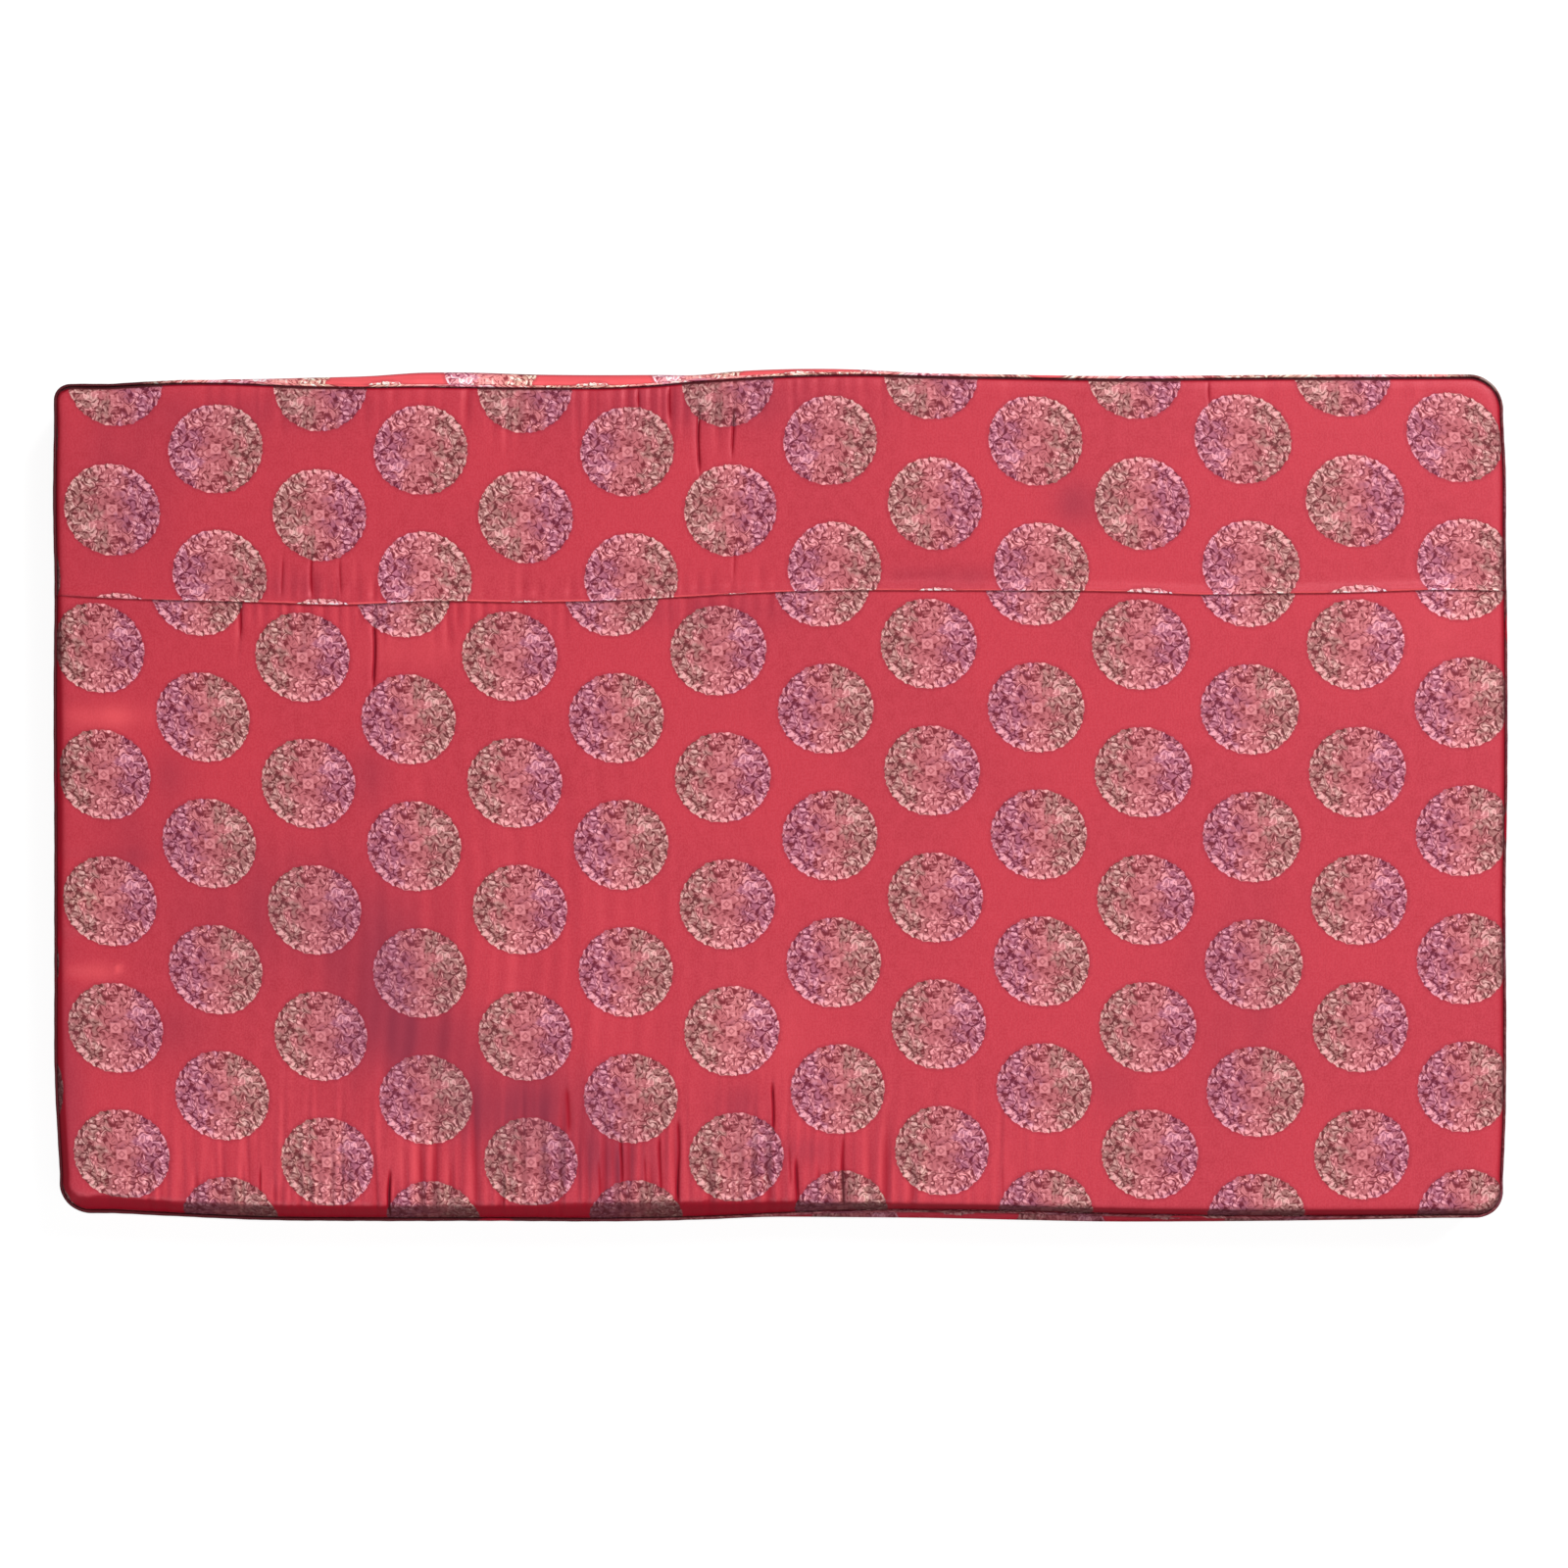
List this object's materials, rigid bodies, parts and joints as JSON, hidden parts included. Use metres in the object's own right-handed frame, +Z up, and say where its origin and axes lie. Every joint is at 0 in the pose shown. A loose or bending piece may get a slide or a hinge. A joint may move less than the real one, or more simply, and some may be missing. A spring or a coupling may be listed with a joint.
{
  "type": "long seat cushion",
  "caption": "Flat rectangular bench cushion with a boxed satin cover, a lapped seam along the top, rolled edges and a thin welt",
  "frame": {"origin": "under the middle of the cushion, on the surface it rests on", "axes": "+X along the cushion, +Y from its front edge to its back edge, where the lapped panel lies, +Z up"},
  "size_m": [1.1996, 0.7031, 0.0672],
  "materials": {
    "pad_cloth": "red satin with woven roundels",
    "panel_cloth": "red satin with woven roundels",
    "boxing_cloth": "red satin with woven roundels",
    "welt_cloth": "narrow strip of the same satin over a cord"
  },
  "bodies": {
    "root": {"seat_pad": "pad_cloth", "back_panel": "panel_cloth", "boxing": "boxing_cloth", "top_welt": "welt_cloth"}
  },
  "joints": []
}
